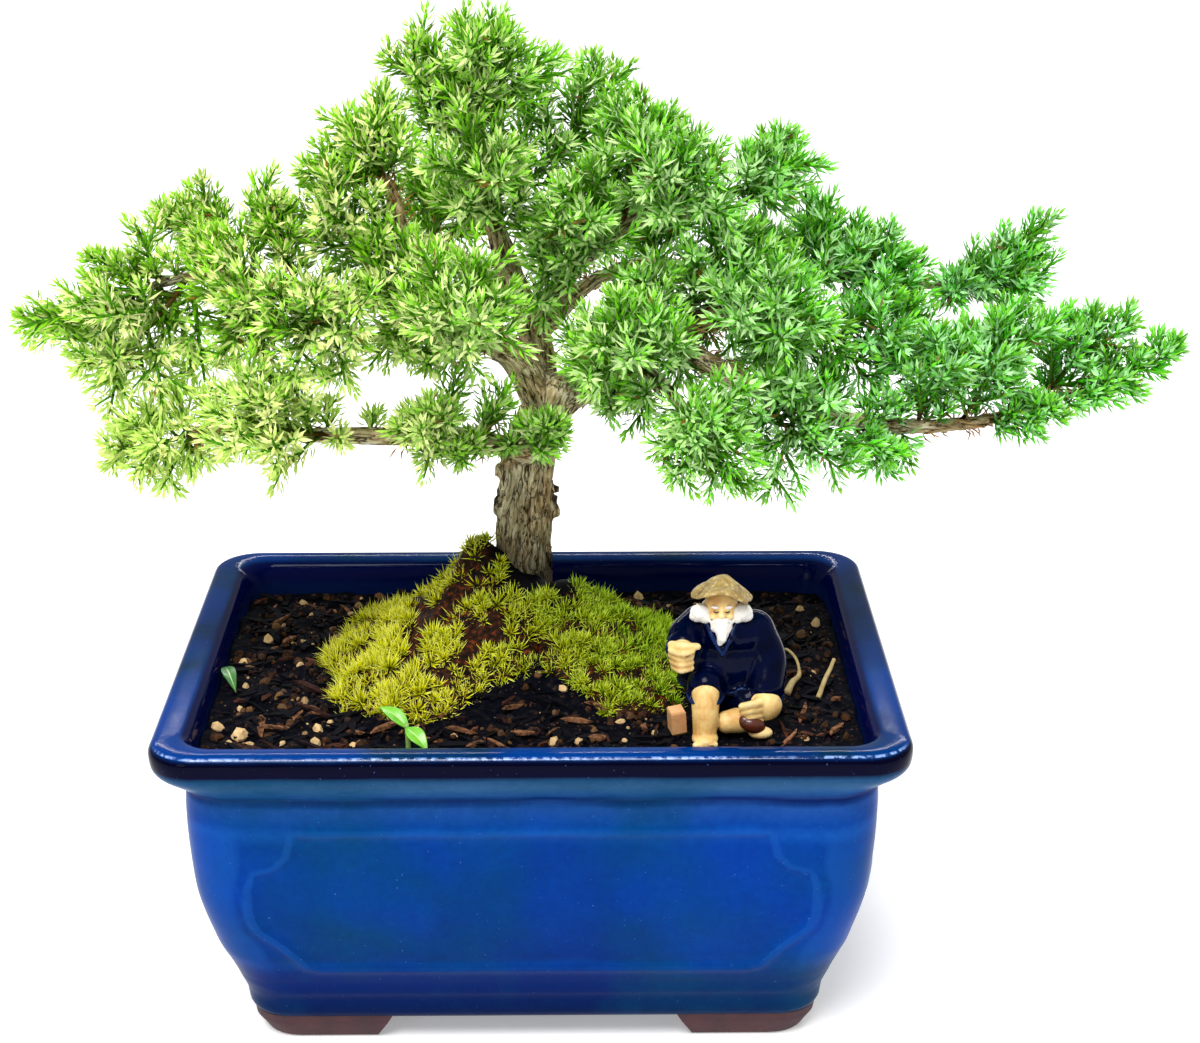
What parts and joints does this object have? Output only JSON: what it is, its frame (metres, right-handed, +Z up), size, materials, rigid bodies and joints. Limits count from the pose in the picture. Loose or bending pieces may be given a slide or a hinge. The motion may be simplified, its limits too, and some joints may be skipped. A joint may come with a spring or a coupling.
{
  "type": "juniper bonsai",
  "caption": "Dwarf juniper bonsai with spreading needle sprays, in a blue glazed rectangular pot with mossy soil and a small seated clay figure.",
  "frame": {"origin": "On the surface that the pot's feet stand on, under the middle of the whole plant's bounding box.", "axes": "+Z up; +X along the pot's long side, towards the tree's longer low limb; the pot's front, with the clay figure near it, faces -Y."},
  "size_m": [0.2568, 0.1232, 0.2126],
  "materials": {
    "glaze": "glossy cobalt glaze",
    "screen": "matt black mesh",
    "soil": "moist bark and grit mix",
    "moss": "soft tufted",
    "wood": "flaking grey-brown bark",
    "needles": "waxy satin",
    "fired_clay": "bare clay with patches of dark glaze",
    "seedling": "fresh leaf",
    "straw": "dry"
  },
  "bodies": {
    "root": {"pot": "glaze", "drain_screen_left": "screen", "drain_screen_right": "screen", "soil": "soil", "moss_left": "moss", "moss_right": "moss", "trunk_and_limbs": "wood", "clay_figure": "fired_clay", "seedling": "seedling", "dry_stalk": "straw", "fallen_leaf": "seedling", "spray_back_centre": "needles", "spray_back_low_right": "needles", "spray_back_right": "needles", "spray_crown_back": "needles", "spray_crown_front": "needles", "spray_crown_left": "needles", "spray_crown_low_left": "needles", "spray_crown_top": "needles", "spray_fork_front": "needles", "spray_front_centre": "needles", "spray_left_back": "needles", "spray_left_gap": "needles", "spray_left_inner": "needles", "spray_left_low": "needles", "spray_left_low_tip": "needles", "spray_left_middle": "needles", "spray_left_outer": "needles", "spray_left_shoulder": "needles", "spray_left_tip": "needles", "spray_left_top": "needles", "spray_left_under": "needles", "spray_left_upper_tip": "needles", "spray_left_upright": "needles", "spray_low_left_drop": "needles", "spray_low_left_inner": "needles", "spray_middle_right": "needles", "spray_right_back": "needles", "spray_right_crook": "needles", "spray_right_front": "needles", "spray_right_front_drop": "needles", "spray_right_front_high": "needles", "spray_right_gap": "needles", "spray_right_hang": "needles", "spray_right_low": "needles", "spray_right_low_sprig": "needles", "spray_right_middle": "needles", "spray_right_outer": "needles", "spray_right_outer_low": "needles", "spray_right_outer_up": "needles", "spray_right_shoulder": "needles", "spray_right_tip": "needles", "spray_right_under": "needles", "spray_right_upper_tip": "needles", "spray_trunk_crossing": "needles", "spray_upper_right": "needles", "spray_upper_right_end": "needles", "spray_upper_right_front": "needles", "spray_upper_right_low": "needles"}
  },
  "joints": []
}
